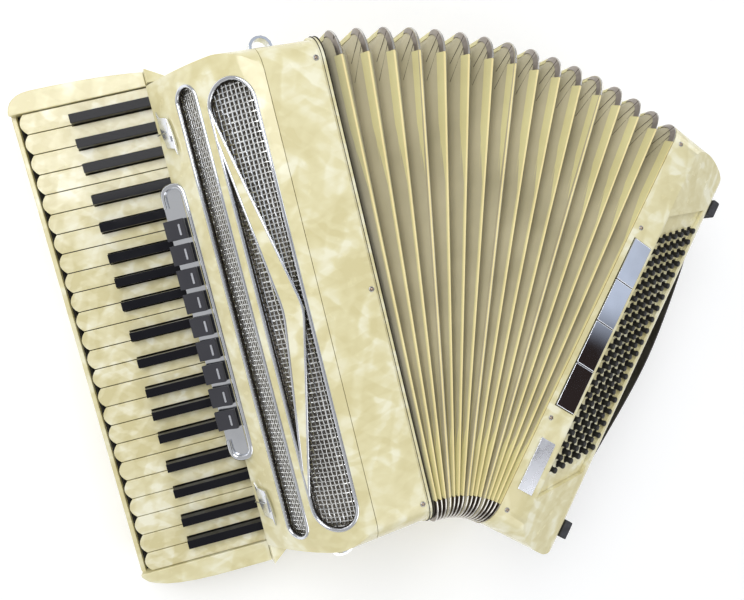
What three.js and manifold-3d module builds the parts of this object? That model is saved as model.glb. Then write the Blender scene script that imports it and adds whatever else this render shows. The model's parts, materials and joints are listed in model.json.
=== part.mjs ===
// Piano accordion, 41 keys and 120 basses, lying on its back with the bellows fanned open.
// Millimetres, +Z up. X runs from the keyboard to the bass side, Y towards the chin end, Z towards the front.
import * as THREE from 'three';
import { mergeVertices } from 'three/addons/utils/BufferGeometryUtils.js';
import Module from 'manifold-3d';

const wasm = await Module();
wasm.setup();

// ---- driving dimensions ----
const GAP = 0.3;                  // between two pieces that touch
const BODY_DEPTH = 200;           // back to front
const BELLOWS_HEIGHT = 490;
const TREBLE_HEIGHT = 477;
const CORNER_RADIUS = 26;
const WALL = 6;

const FOLD_COUNT = 15.5;          // half a fold at the treble frame, then fifteen whole ones
const FOLD_ANGLE = 2.832;         // degrees of one fold at rest
const FOLD_PITCH = 3.5;           // one closed fold
const FAN_RADIUS = 71;            // fan centre to the bellows' bottom edge
const RING_FOLDS = [3.5, 7.5, 11.5];

const KEY_PITCH = 20;
const WHITE_COUNT = 24;
const KEYBOARD_LENGTH = KEY_PITCH * WHITE_COUNT;
const KEY_TILT = THREE.MathUtils.degToRad(14.8);
const WHITE_LENGTH = 126.4;       // visible, from the cover's edge
const WHITE_THICKNESS = 14;
const BLACK_LENGTH = 77;
const BLACK_WIDTH = 10.5;
const BLACK_HEIGHT = 10;
const KEY_GAP = 0.9;
const KEY_END = 6;                // the playing part ends just under the cover
const TAIL_WIDTH = 4;
const AXLE_X = 42;                // behind the cover's edge
const AXLE_Z = -8;

const RIM_X = -8.5;               // end of the treble casing, where the bellows frame begins
const SEAM_X = -62;               // casing to grille cover
const COVER_EDGE = [-152.4, 97];  // the cover's edge over the keys
const COVER_BASE_Z = 96;
const COVER_SKIN = 3.5;
const CASING_LEFT = -150;
const KEY_ORIGIN = [-150.6, 80.6];

const REGISTER_COUNT = 9;
const REGISTER_PITCH = 24.4;

const BASS_WIDTH = 113;           // rim to the outer wall
const BOARD_START = 34;           // where the front begins to slope to the buttons
const BOARD_SLOPE = THREE.MathUtils.degToRad(26.6);
const BUTTON_ROWS = 20;
const BUTTONS_PER_ROW = 6;
const BUTTON_PITCH = 14.6;
const BUTTON_ACROSS = 11.6;
const BUTTON_SHIFT = 9;
const SLAB_COUNT = 4;
const SLAB_PITCH = 50.2;

// ---- places worked out from them ----
const MID_Y = BELLOWS_HEIGHT / 2;
const TREBLE_Y0 = MID_Y - TREBLE_HEIGHT / 2;
const TREBLE_Y1 = MID_Y + TREBLE_HEIGHT / 2;
const KEYS_TOP_Y = MID_Y + KEYBOARD_LENGTH / 2 + 1;
const KEYS_LOW_Y = KEYS_TOP_Y - KEYBOARD_LENGTH;
const CHEEK_TOP = 14.4;           // keyboard ends beyond the keys, where they meet the casing
const CHEEK_LOW = 22;
const KEY_MOUTH_Z = 54;           // under the opening that the keys' levers pass through

// ---- solids ----
function solid(geometry) {
  const bare = geometry.clone();
  bare.deleteAttribute('normal');
  bare.deleteAttribute('uv');
  const merged = mergeVertices(bare, 1e-4);
  return new wasm.Manifold(new wasm.Mesh({
    numProp: 3,
    vertProperties: new Float32Array(merged.attributes.position.array),
    triVerts: new Uint32Array(merged.index.array),
  }));
}

function geometryOf(manifold) {
  const mesh = manifold.getMesh();
  const geometry = new THREE.BufferGeometry();
  geometry.setAttribute('position', new THREE.BufferAttribute(mesh.vertProperties, 3));
  geometry.setIndex(new THREE.BufferAttribute(mesh.triVerts, 1));
  geometry.computeVertexNormals();
  return geometry;
}

const join = (parts) => parts.reduce((whole, part) => whole.add(part));
const cut = (whole, parts) => parts.reduce((left, part) => left.subtract(part), whole);

function outline(points) {
  return new THREE.Shape(points.map(([u, v]) => new THREE.Vector2(u, v)));
}

function rounded(u0, v0, u1, v1, radius) {
  const shape = new THREE.Shape();
  shape.moveTo(u0 + radius, v0);
  shape.lineTo(u1 - radius, v0);
  shape.absarc(u1 - radius, v0 + radius, radius, -Math.PI / 2, 0);
  shape.absarc(u1 - radius, v1 - radius, radius, 0, Math.PI / 2);
  shape.absarc(u0 + radius, v1 - radius, radius, Math.PI / 2, Math.PI);
  shape.absarc(u0 + radius, v0 + radius, radius, Math.PI, Math.PI * 1.5);
  return shape;
}

function extrude(shape, depth, curveSegments = 7) {
  return new THREE.ExtrudeGeometry(shape, { depth, bevelEnabled: false, curveSegments });
}

// The shape's axes are X and Y, and it runs from z0 to z1.
function alongZ(shape, z0, z1) {
  return solid(extrude(shape, z1 - z0).translate(0, 0, z0));
}

// The shape's axes are X and Z, and it runs from y0 to y1.
function alongY(shape, y0, y1) {
  return solid(extrude(shape, y1 - y0).rotateX(Math.PI / 2).translate(0, y1, 0));
}

// The shape's axes are Y and Z, and it runs from x0 to x1.
function alongX(shape, x0, x1) {
  return solid(extrude(shape, x1 - x0).rotateX(Math.PI / 2).rotateZ(Math.PI / 2).translate(x0, 0, 0));
}

function box(x0, x1, y0, y1, z0, z1) {
  const geometry = new THREE.BoxGeometry(x1 - x0, y1 - y0, z1 - z0);
  return solid(geometry.translate((x0 + x1) / 2, (y0 + y1) / 2, (z0 + z1) / 2));
}

function rodAlongY(x, z, radius, y0, y1, sides = 12) {
  const rod = new THREE.CylinderGeometry(radius, radius, y1 - y0, sides);
  return solid(rod.translate(x, (y0 + y1) / 2, z));
}

function rodAlongX(y, z, radius, x0, x1, sides = 16) {
  const rod = new THREE.CylinderGeometry(radius, radius, x1 - x0, sides);
  return solid(rod.rotateZ(Math.PI / 2).translate((x0 + x1) / 2, y, z));
}

// ---- finishes ----
const finish = (color, roughness, metalness) => ({ color, roughness, metalness });
const FINISHES = {
  pearloid: finish(0xe4dcae, 0.25, 0),
  white_key: finish(0xe6dfba, 0.2, 0),
  black_key: finish(0x16151a, 0.12, 0),
  chrome: finish(0xc8cacc, 0.12, 1),
  steel: finish(0x9a9c9e, 0.35, 1),
  wood: finish(0xcdb98a, 0.6, 0),
  cloth: finish(0xb3a88f, 0.8, 0),
  leather: finish(0x1c1b1c, 0.55, 0),
  rubber: finish(0x35363b, 0.8, 0),
};

function piece(parent, name, manifold, finishName) {
  const mesh = new THREE.Mesh(geometryOf(manifold), new THREE.MeshStandardMaterial(FINISHES[finishName]));
  mesh.name = name;
  parent.add(mesh);
  return mesh;
}

// ---- groups ----
const accordion = new THREE.Group();
const treble = new THREE.Group();
const keyboard = new THREE.Group();
keyboard.position.set(KEY_ORIGIN[0], 0, KEY_ORIGIN[1]);
keyboard.rotation.y = -KEY_TILT;
treble.add(keyboard);
accordion.add(treble);

// A group whose local X leaves the plane of the fan at the given number of folds.
function fanGroup(folds) {
  const group = new THREE.Group();
  const angle = THREE.MathUtils.degToRad(folds * FOLD_ANGLE);
  group.position.set(FAN_RADIUS * Math.sin(angle), FAN_RADIUS * (Math.cos(angle) - 1), 0);
  group.rotation.z = -angle;
  accordion.add(group);
  return group;
}

// ---- treble casing ----
function trebleSection(inset) {
  return rounded(TREBLE_Y0 + inset, inset, TREBLE_Y1 - inset, BODY_DEPTH - inset, CORNER_RADIUS - inset);
}

// The rear part under the cover widens to the keyboard's ends.
function rearPlan() {
  const shoulder = -122;
  const wide0 = KEYS_LOW_Y - CHEEK_LOW;
  const wide1 = KEYS_TOP_Y + CHEEK_TOP;
  const middle = (wide) => (wide + (wide > MID_Y ? TREBLE_Y1 : TREBLE_Y0)) / 2;
  const right = SEAM_X + 0.5;
  return outline([
    [right, TREBLE_Y0], [right, TREBLE_Y1],
    [shoulder, TREBLE_Y1], [shoulder - 12, middle(wide1)], [CASING_LEFT, wide1],
    [CASING_LEFT, wide0], [shoulder - 12, middle(wide0)], [shoulder, TREBLE_Y0],
  ]);
}

function trebleCasing() {
  const main = alongX(trebleSection(0), SEAM_X + GAP, RIM_X);
  const rearTop = COVER_BASE_Z - GAP;
  const rearSection = rounded(KEYS_LOW_Y - CHEEK_LOW, 0, KEYS_TOP_Y + CHEEK_TOP, 150, 12);
  const rear = alongZ(rearPlan(), 0, rearTop).intersect(alongX(rearSection, CASING_LEFT, SEAM_X + 1));
  const floor = 8;
  const hollows = [
    alongX(trebleSection(WALL), SEAM_X - 5, RIM_X + 1),
    box(CASING_LEFT + WALL, SEAM_X + 1, TREBLE_Y0 + WALL, TREBLE_Y1 - WALL, floor, rearTop + 1),
    box(CASING_LEFT - 1, CASING_LEFT + 14, KEYS_LOW_Y - 1.2, KEYS_TOP_Y + 1.2, KEY_MOUTH_Z, rearTop + 1),
  ];
  piece(treble, 'treble_casing', cut(join([main, rear]), hollows), 'pearloid');
}

// ---- grille cover ----
const COVER_START = [SEAM_X - GAP, BODY_DEPTH];
const COVER_BEND = [-112, 186];
const coverCurve = new THREE.QuadraticBezierCurve(
  new THREE.Vector2(...COVER_START), new THREE.Vector2(...COVER_BEND), new THREE.Vector2(...COVER_EDGE),
);

// A point of the cover's section, a given depth under its surface.
function coverPoint(t, depth = 0) {
  const point = coverCurve.getPoint(t);
  const tangent = coverCurve.getTangent(t);
  return [point.x - tangent.y * depth, point.y + tangent.x * depth];
}

function coverBand(t0, t1, depth0, depth1, steps) {
  const at = (i) => t0 + ((t1 - t0) * i) / steps;
  const top = Array.from({ length: steps + 1 }, (_, i) => coverPoint(at(i), depth0));
  const under = Array.from({ length: steps + 1 }, (_, i) => coverPoint(at(steps - i), depth1));
  return outline([...top, ...under]);
}

const WIDE_SLOT = { t0: 0.13, t1: 0.52, y0: 29, y1: 460 };
const NARROW_SLOT = { t0: 0.6, t1: 0.77, y0: 21, y1: 467 };

// Axes of a slot: X across it towards the bellows, Y along it, Z out of the cover.
function slotFrame(slot) {
  const right = coverPoint(slot.t0);
  const left = coverPoint(slot.t1);
  const across = new THREE.Vector3(right[0] - left[0], 0, right[1] - left[1]);
  const width = across.length();
  across.normalize();
  const up = new THREE.Vector3(0, 1, 0);
  const out = new THREE.Vector3().crossVectors(across, up);
  const matrix = new THREE.Matrix4().makeBasis(across, up, out);
  matrix.setPosition((right[0] + left[0]) / 2, 0, (right[1] + left[1]) / 2);
  return { matrix, width };
}

function slotCutter(slot) {
  const { matrix, width } = slotFrame(slot);
  const shape = rounded(-width / 2, slot.y0, width / 2, slot.y1, width / 2 - 0.01);
  const reach = 14;
  return solid(extrude(shape, 2 * reach, 8).translate(0, 0, -reach).applyMatrix4(matrix));
}

function coverShell(inset) {
  const steps = 12;
  const curve = Array.from({ length: steps + 1 }, (_, i) => coverPoint(i / steps, inset));
  const low = inset ? COVER_BASE_Z - 12 : COVER_BASE_Z;
  const right = inset ? SEAM_X + 5 : SEAM_X - GAP;
  const points = [[right, low], [right, inset ? BODY_DEPTH - inset : BODY_DEPTH], ...curve.slice(1)];
  points.push([curve[steps][0] + (inset ? 0 : 1.5), low]);
  const body = alongY(outline(points), TREBLE_Y0 + inset, TREBLE_Y1 - inset);
  return body.intersect(alongX(trebleSection(inset), COVER_EDGE[0] - 10, SEAM_X + 6));
}

function grille() {
  const cover = cut(coverShell(0), [coverShell(COVER_SKIN), slotCutter(WIDE_SLOT), slotCutter(NARROW_SLOT)]);
  piece(treble, 'grille_cover', cover, 'pearloid');
  for (const [name, slot] of [['wide', WIDE_SLOT], ['narrow', NARROW_SLOT]]) {
    const under = COVER_SKIN + GAP;
    const margin = 0.035;
    const band = coverBand(slot.t0 - margin, slot.t1 + margin, under, under + 1.5, 5);
    piece(treble, `grille_mesh_${name}`, alongY(band, slot.y0 - 5, slot.y1 + 3), 'steel');
  }
}

// The bolt-shaped bar that lies on the wide mesh.
function grilleBolt() {
  const { matrix, width } = slotFrame(WIDE_SLOT);
  const side = width / 2 - 1.2;
  const bar = outline([[-side, 434], [side - 2, 245], [-side, 66], [-side, 92], [0, 245], [-side, 408]]);
  const geometry = extrude(bar, 2.6).translate(0, 0, -0.9).applyMatrix4(matrix);
  piece(treble, 'grille_bolt_trim', solid(geometry), 'pearloid');
}

// ---- treble registers ----
const BEZEL_TOP = [-143.5, 110.5];
const BEZEL_SLOPE = THREE.MathUtils.degToRad(33.4);
const registers = new THREE.Group();
registers.position.set(BEZEL_TOP[0], 0, BEZEL_TOP[1]);
registers.rotation.y = -BEZEL_SLOPE;
treble.add(registers);

function registerBezel() {
  const length = 26.5;
  const half = 141.5;
  const plate = alongZ(rounded(-length, MID_Y - half, 12, MID_Y + half, 11), -2.2, 0);
  const swollen = coverShell(0);
  const toLocal = new THREE.Matrix4().makeRotationY(BEZEL_SLOPE);
  toLocal.multiply(new THREE.Matrix4().makeTranslation(-BEZEL_TOP[0] - GAP, 0, -BEZEL_TOP[1] + GAP));
  const coverHere = solid(geometryOf(swollen).applyMatrix4(toLocal));
  const bezel = plate.subtract(coverHere).subtract(box(0, 20, 0, BELLOWS_HEIGHT, -5, 5));
  piece(registers, 'register_bezel', bezel, 'chrome');
  for (let i = 0; i < REGISTER_COUNT; i += 1) {
    const y = MID_Y + REGISTER_PITCH * ((REGISTER_COUNT - 1) / 2 - i);
    const half = 9.8;
    const section = outline([[-29, 3], [-28, 7.5], [-17.5, 5.6], [-8, 7.5], [-6.5, 6], [-7.5, 1], [-11, 1]]);
    piece(registers, `treble_register_${i + 1}`, alongY(section, y - half, y + half), 'black_key');
  }
}

// ---- keyboard ----
// In the keyboard's own frame the keys' tops are at z = 0, and x = 0 is the cover's edge.
const NOTES = ['F', 'G', 'A', 'B', 'C', 'D', 'E'];
// How far a black key sits from the line between its two neighbours.
const BLACK_AFTER = { F: -4.5, G: 0, A: 4.5, C: -4, D: 4 };
const FIRST_SINGLE = 11;          // the octave from C to B in the middle has a joint for each key
const LAST_SINGLE = 17;
const noteOf = (i) => NOTES[i % NOTES.length];
const lineY = (i) => KEYS_TOP_Y - KEY_PITCH * i;
const blackCentre = (i) => lineY(i + 1) - BLACK_AFTER[noteOf(i)];
const tailRoom = WALL + TAIL_WIDTH / 2 + 0.6;
const tailCentre = (neckY) => THREE.MathUtils.clamp(neckY, TREBLE_Y0 + tailRoom, TREBLE_Y1 - tailRoom);

// The lever behind a key, from the middle of its neck to the axle.
// At the keyboard's ends it bends in past the casing's wall.
function keyTail(neckY) {
  const y = tailCentre(neckY);
  const half = TAIL_WIDTH / 2;
  const low = -12;
  const high = -4;
  const bar = box(8, AXLE_X + 5, y - half, y + half, low, high);
  const bend = box(KEY_END - 0.5, 9, Math.min(y, neckY) - half, Math.max(y, neckY) + half, low, high);
  return join([bar, bend]).subtract(rodAlongY(AXLE_X, AXLE_Z, 2.7, y - TAIL_WIDTH, y + TAIL_WIDTH, 8));
}

// The edges of a white key's neck, which leaves room for the black keys beside it.
function neckOf(i) {
  const half = BLACK_WIDTH / 2 + 0.8;
  const top = lineY(i) - KEY_GAP / 2;
  const bottom = lineY(i + 1) + KEY_GAP / 2;
  const blackAbove = i > 0 && noteOf(i - 1) in BLACK_AFTER;
  const blackBelow = i < WHITE_COUNT - 1 && noteOf(i) in BLACK_AFTER;
  const above = blackAbove ? Math.min(top, blackCentre(i - 1) - half) : top;
  const below = blackBelow ? Math.max(bottom, blackCentre(i) + half) : bottom;
  return { above, below, middle: (above + below) / 2 };
}

function whiteKey(i) {
  const top = lineY(i) - KEY_GAP / 2;
  const bottom = lineY(i + 1) + KEY_GAP / 2;
  const neck = -BLACK_LENGTH - 1.5;
  const { above, below, middle } = neckOf(i);
  const front = -WHITE_LENGTH;
  const bow = 5;
  const shape = new THREE.Shape();
  shape.moveTo(KEY_END, below);
  shape.lineTo(KEY_END, above);
  shape.lineTo(neck, above);
  shape.lineTo(neck, top);
  shape.lineTo(front + bow, top);
  shape.quadraticCurveTo(front - bow, (top + bottom) / 2, front + bow, bottom);
  shape.lineTo(neck, bottom);
  shape.lineTo(neck, below);
  const plate = alongZ(shape, -WHITE_THICKNESS, 0);
  return plate.add(keyTail(middle));
}

function blackKey(i) {
  const y = blackCentre(i);
  const slant = 0.9;
  const half = BLACK_WIDTH / 2;
  const section = outline([
    [y - half, -10], [y + half, -10], [y + half - 0.2, 2], [y + half - slant, BLACK_HEIGHT],
    [y - half + slant, BLACK_HEIGHT], [y - half + 0.2, 2],
  ]);
  const playing = alongX(section, -BLACK_LENGTH, KEY_END - 1);
  const neck = box(KEY_END - 2, KEY_END, y - TAIL_WIDTH / 2, y + TAIL_WIDTH / 2, -10, -4);
  return join([playing, neck, keyTail(y)]);
}

const whiteIndexes = (from, to) => Array.from({ length: to - from + 1 }, (_, i) => from + i);
const blackIndexes = (from, to) => whiteIndexes(from, to).filter((i) => noteOf(i) in BLACK_AFTER);

function keyBlock(name, indexes, maker, barZ0, barZ1, post, finishName) {
  const centre = (i) => tailCentre(maker === whiteKey ? neckOf(i).middle : blackCentre(i));
  const ends = [centre(indexes[0]) + TAIL_WIDTH / 2, centre(indexes.at(-1)) - TAIL_WIDTH / 2];
  const bar = box(18, 25, ends[1], ends[0], barZ0, barZ1);
  const half = TAIL_WIDTH / 2;
  const posts = indexes.map((i) => box(18, 25, centre(i) - half, centre(i) + half, post[0], post[1]));
  piece(keyboard, name, join([bar, ...posts, ...indexes.map(maker)]), finishName);
}

function keys() {
  const last = WHITE_COUNT - 1;
  const underBar = [-18, -15, [-16, -8]];
  const overBar = [-1.5, 1.5, [-8, 0]];
  keyBlock('white_keys_low', whiteIndexes(0, FIRST_SINGLE - 1), whiteKey, ...underBar, 'white_key');
  keyBlock('black_keys_low', blackIndexes(0, FIRST_SINGLE - 1), blackKey, ...overBar, 'black_key');
  for (const i of whiteIndexes(FIRST_SINGLE, LAST_SINGLE)) {
    piece(keyboard, `white_key_${noteOf(i).toLowerCase()}4`, whiteKey(i), 'white_key');
  }
  for (const i of blackIndexes(FIRST_SINGLE, LAST_SINGLE)) {
    piece(keyboard, `black_key_${noteOf(i).toLowerCase()}s4`, blackKey(i), 'black_key');
  }
  keyBlock('white_keys_high', whiteIndexes(LAST_SINGLE + 1, last), whiteKey, ...underBar, 'white_key');
  keyBlock('black_keys_high', blackIndexes(LAST_SINGLE + 1, last - 1), blackKey, ...overBar, 'black_key');
  const inset = WALL + GAP;
  const axle = rodAlongY(AXLE_X, AXLE_Z, 2, TREBLE_Y0 + inset, TREBLE_Y1 - inset);
  piece(keyboard, 'key_axle', axle, 'steel');
}

// A point on the casing's outer wall in the keyboard's frame, q up from the height of the keys' origin.
function wallPoint(q) {
  const away = CASING_LEFT - GAP - KEY_ORIGIN[0];
  const sin = Math.sin(KEY_TILT);
  const cos = Math.cos(KEY_TILT);
  return [away * cos + q * sin, -away * sin + q * cos];
}

const CHEEK_WIDE = 20.2;          // the chin-side cheek at its widest

// The bed seen from above: its cheeks swell a little and turn in at the outer edge.
function bedPlan(outer) {
  const low = KEYS_LOW_Y - CHEEK_LOW;
  const high = KEYS_TOP_Y + CHEEK_WIDE;
  const shape = new THREE.Shape();
  shape.moveTo(60, low);
  shape.lineTo(-60, low);
  shape.quadraticCurveTo(outer, KEYS_LOW_Y - 20, outer, KEYS_LOW_Y + 2);
  shape.lineTo(outer, KEYS_TOP_Y - 2);
  shape.quadraticCurveTo(outer, high - 1, -109, high);
  shape.quadraticCurveTo(-40, high, 0, KEYS_TOP_Y + CHEEK_TOP);
  shape.lineTo(60, KEYS_TOP_Y + CHEEK_TOP);
  return shape;
}

function keyboardBed() {
  const floorTop = -22;
  const floorUnder = -40;
  const outer = -WHITE_LENGTH - 7.5;
  const cheekTop = 3;
  const y0 = KEYS_LOW_Y - CHEEK_LOW;
  const y1 = KEYS_TOP_Y + CHEEK_WIDE;
  const wallAt = (z) => wallPoint(z / Math.cos(KEY_TILT));
  const section = outline([wallAt(floorUnder), wallAt(cheekTop), [outer, cheekTop], [outer, floorUnder]]);
  const block = alongY(section, y0, y1).intersect(alongZ(bedPlan(outer), floorUnder - 1, cheekTop + 1));
  const room = [KEYS_LOW_Y - 0.4, KEYS_TOP_Y + 0.4];
  const lip = outer + 4.5;
  const hollows = [
    box(lip, 60, ...room, floorTop, cheekTop + 2),
    box(outer - 1, lip + 1, ...room, -5, cheekTop + 2),
  ];
  piece(keyboard, 'keyboard_bed', cut(block, hollows), 'pearloid');
}

// ---- inside and fittings of the treble side ----
function trebleReeds() {
  const plate = box(-58, -53, TREBLE_Y0 + 12, TREBLE_Y1 - 12, 14, 186);
  const blocks = [34, 86, 138].map((z) => box(-54, RIM_X - 2, 45, 445, z, z + 28));
  piece(treble, 'treble_reed_block', join([plate, ...blocks]), 'wood');
}

function bellowsSection(inset, back = 1) {
  const lowZ = back + inset;
  const highZ = BODY_DEPTH - 1 - inset;
  return rounded(inset, lowZ, BELLOWS_HEIGHT - inset, highZ, 28 - inset * 0.6);
}

const BRACKET_Z = 158;

// A bent loop for a strap on a small plate, standing up along Y.
function strapLoop(rise, plate) {
  const half = 12;
  const thick = 3;
  const bend = 2 * rise;
  const arch = new THREE.Shape();
  arch.moveTo(-half, 0);
  arch.bezierCurveTo(-half, bend * 0.66, half, bend * 0.66, half, 0);
  arch.lineTo(half - thick, 0);
  arch.bezierCurveTo(half - thick, (bend - thick) * 0.6, thick - half, (bend - thick) * 0.6, thick - half, 0);
  return alongZ(arch, -6, 6).add(box(-half, half, -plate, plate, -9, 9));
}

function trebleFittings() {
  const frame = alongX(bellowsSection(3), RIM_X + GAP, -1.8);
  piece(treble, 'treble_bellows_frame', frame.subtract(alongX(bellowsSection(16), RIM_X - 1, 1)), 'wood');
  const brackets = [
    { name: 'top', x: -50, wall: TREBLE_Y1, side: 1, rise: 13 },
    { name: 'bottom', x: -91, wall: TREBLE_Y0, side: -1, rise: 9 },
  ];
  for (const { name, x, wall, side, rise } of brackets) {
    const plate = 1.2;
    const bracket = geometryOf(strapLoop(rise, plate)).rotateZ(side > 0 ? 0 : Math.PI);
    const mesh = piece(treble, `strap_bracket_${name}`, solid(bracket), 'chrome');
    mesh.position.set(x, wall + side * (plate + GAP), BRACKET_Z);
  }
  for (const [name, y] of [['top', 433], ['bottom', 56]]) {
    const t = 0.9;
    const [x, z] = coverPoint(t, -1.3);
    const slope = coverCurve.getTangent(t);
    const half = [[-9, 23], [-6.5, 16.5], [5, 13.5], [8, 0], [9, -10]];
    const plate = outline([...half, ...half.map(([u, v]) => [-u, -v])]);
    const clip = piece(treble, `cover_clip_${name}`, alongZ(plate, 0, 2.4), 'chrome');
    clip.position.set(x, y, z);
    clip.rotation.y = -Math.atan2(-slope.y, -slope.x);
  }
}

// ---- bellows ----
const RING_HALF = 1.5;

function bellows() {
  const rings = RING_FOLDS.map((folds, i) => {
    const group = fanGroup(folds);
    const ring = alongX(bellowsSection(0), -RING_HALF, RING_HALF);
    const opening = alongX(bellowsSection(24), -RING_HALF - 1, RING_HALF + 1);
    return piece(group, `bellows_ring_${i + 1}`, ring.subtract(opening), 'cloth');
  });
  const edges = [0, ...RING_FOLDS, FOLD_COUNT];
  for (let i = 0; i <= rings.length; i += 1) {
    const half = THREE.MathUtils.degToRad(((edges[i + 1] - edges[i]) * FOLD_ANGLE) / 2);
    const group = fanGroup((edges[i] + edges[i + 1]) / 2);
    const clear = (RING_HALF + GAP) / Math.cos(half);
    const reach = (y) => (y + FAN_RADIUS) * Math.tan(half) - clear;
    const low = 4;
    const high = BELLOWS_HEIGHT - 5;
    const sector = outline([
      [-reach(low), low], [reach(low), low], [reach(high), high], [-reach(high), high],
    ]);
    const wide = 80;
    const inside = alongX(bellowsSection(22), -wide - 1, wide + 1);
    const tube = alongX(bellowsSection(4), -wide, wide).subtract(inside);
    const pack = tube.intersect(alongZ(sector, 0, BODY_DEPTH));
    piece(group, `bellows_pleats_${i + 1}`, pack, 'cloth');
  }
}

// ---- bass side ----
// In the bass group's frame x = 0 is the rim at the bellows and the other axes are as on the treble side.
const bass = fanGroup(FOLD_COUNT);
const board = new THREE.Group();
board.position.set(BOARD_START, 0, BODY_DEPTH);
board.rotation.y = BOARD_SLOPE;
bass.add(board);
const BOARD_LENGTH = 80.5;
const BOARD_SINK = 4;
const BOARD_SKEW = BUTTON_SHIFT / BUTTON_ACROSS;

function bassProfile(inset) {
  const slope = BOARD_LENGTH - 6;
  const sin = Math.sin(BOARD_SLOPE);
  const cos = Math.cos(BOARD_SLOPE);
  const foot = [BOARD_START + slope * cos - inset * sin, BODY_DEPTH - slope * sin - inset * cos];
  const outer = BASS_WIDTH - inset;
  const shape = new THREE.Shape();
  shape.moveTo(inset ? -2 : GAP, inset);
  shape.lineTo(inset ? -2 : GAP, BODY_DEPTH - inset);
  shape.lineTo(BOARD_START - inset / 4, BODY_DEPTH - inset);
  shape.lineTo(...foot);
  shape.quadraticCurveTo(outer, foot[1] - 4, outer, foot[1] - 18);
  shape.lineTo(outer, 18);
  shape.quadraticCurveTo(outer, inset, outer - 18 + inset, inset);
  return shape;
}

// A parallelogram on the board, its ends skewed along the diagonal rows.
function boardOutline(inset) {
  const a0 = 3 + inset;
  const a1 = 74 - inset;
  const low = (a) => 50 + inset + (a - 3) * 0.7;
  const high = (a) => 389 - inset + (a - 3) * 0.7;
  return outline([[a0, low(a0)], [a1, low(a1)], [a1, high(a1)], [a0, high(a0)]]);
}

function fromBoard(manifold) {
  board.updateMatrix();
  return solid(geometryOf(manifold).applyMatrix4(board.matrix));
}

const SLABS_TOP_Y = 344.5;
const SLAB_X0 = 8;
const SLAB_X1 = 32;
const WHEEL = { x: 124, y: 452, z: 98, radius: 9 };
const AIR = { y: 424, z: 47, radius: 7 };

function bassCasing() {
  const body = (inset) => {
    const high = BELLOWS_HEIGHT - 1 - inset;
    const section = rounded(1 + inset, inset, high, BODY_DEPTH - inset, CORNER_RADIUS - inset);
    const plan = rounded(-60, 1 + inset, BASS_WIDTH - inset, high, 20);
    return alongY(bassProfile(inset), 0, BELLOWS_HEIGHT)
      .intersect(alongX(section, -3, BASS_WIDTH + 1))
      .intersect(alongZ(plan, -1, BODY_DEPTH + 1));
  };
  const window = fromBoard(alongZ(boardOutline(0), -20, 8));
  const low = SLABS_TOP_Y - SLAB_COUNT * SLAB_PITCH;
  const pocket = box(SLAB_X0 - 1, SLAB_X1 + 0.8, low, SLABS_TOP_Y + 1, 190, BODY_DEPTH + 1);
  const tray = box(SLAB_X0 - 4, SLAB_X1 + 1.8, low - 3, SLABS_TOP_Y + 4, 186, BODY_DEPTH - 3);
  const lug = box(BASS_WIDTH - 2, WHEEL.x + 5, 441, 446, WHEEL.z - 8, WHEEL.z + 8);
  const casing = join([body(0).subtract(body(WALL)), tray, lug]);
  const holes = [
    window,
    pocket,
    rodAlongX(AIR.y, AIR.z, AIR.radius + 0.8, BASS_WIDTH - WALL - 6, BASS_WIDTH + 2),
    rodAlongY(WHEEL.x, WHEEL.z, 3.2, 440, 447),
  ];
  piece(bass, 'bass_casing', cut(casing, holes), 'pearloid');
}

const buttonPlace = (row, column) => ({
  a: 8.9 + column * BUTTON_ACROSS,
  y: 362 - row * BUTTON_PITCH + column * BUTTON_SHIFT,
});

const BUTTON_RISE = 3.5;          // above the slope round the board

function bassButtons() {
  const top = -BOARD_SINK;
  const under = top - 3;
  const slots = [];
  for (let row = 0; row < BUTTON_ROWS; row += 1) {
    const first = buttonPlace(row, 0);
    const last = buttonPlace(row, BUTTONS_PER_ROW - 1);
    const reach = 5.5;
    const angle = Math.atan2(last.y - first.y, last.a - first.a);
    const length = Math.hypot(last.y - first.y, last.a - first.a) + 2 * reach;
    const slot = new THREE.BoxGeometry(length, 8, 12).rotateZ(angle);
    slots.push(solid(slot.translate((first.a + last.a) / 2, (first.y + last.y) / 2, top)));
  }
  const plate = alongZ(boardOutline(GAP), under, top);
  piece(board, 'bass_button_board', cut(plate, slots), 'pearloid');

  const carrier = [under - 6.5, under - 4.5];
  const pins = [alongZ(boardOutline(4.5), ...carrier)];
  for (let row = 0; row < BUTTON_ROWS; row += 1) {
    for (let column = 0; column < BUTTONS_PER_ROW; column += 1) {
      const { a, y } = buttonPlace(row, column);
      const height = BUTTON_RISE - carrier[1] + 1;
      const pin = new THREE.CylinderGeometry(3.3, 3.3, height, 6).rotateX(Math.PI / 2);
      pins.push(solid(pin.translate(a, y, carrier[1] - 1 + height / 2)));
    }
  }
  piece(board, 'bass_buttons', join(pins), 'black_key');
}

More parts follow.
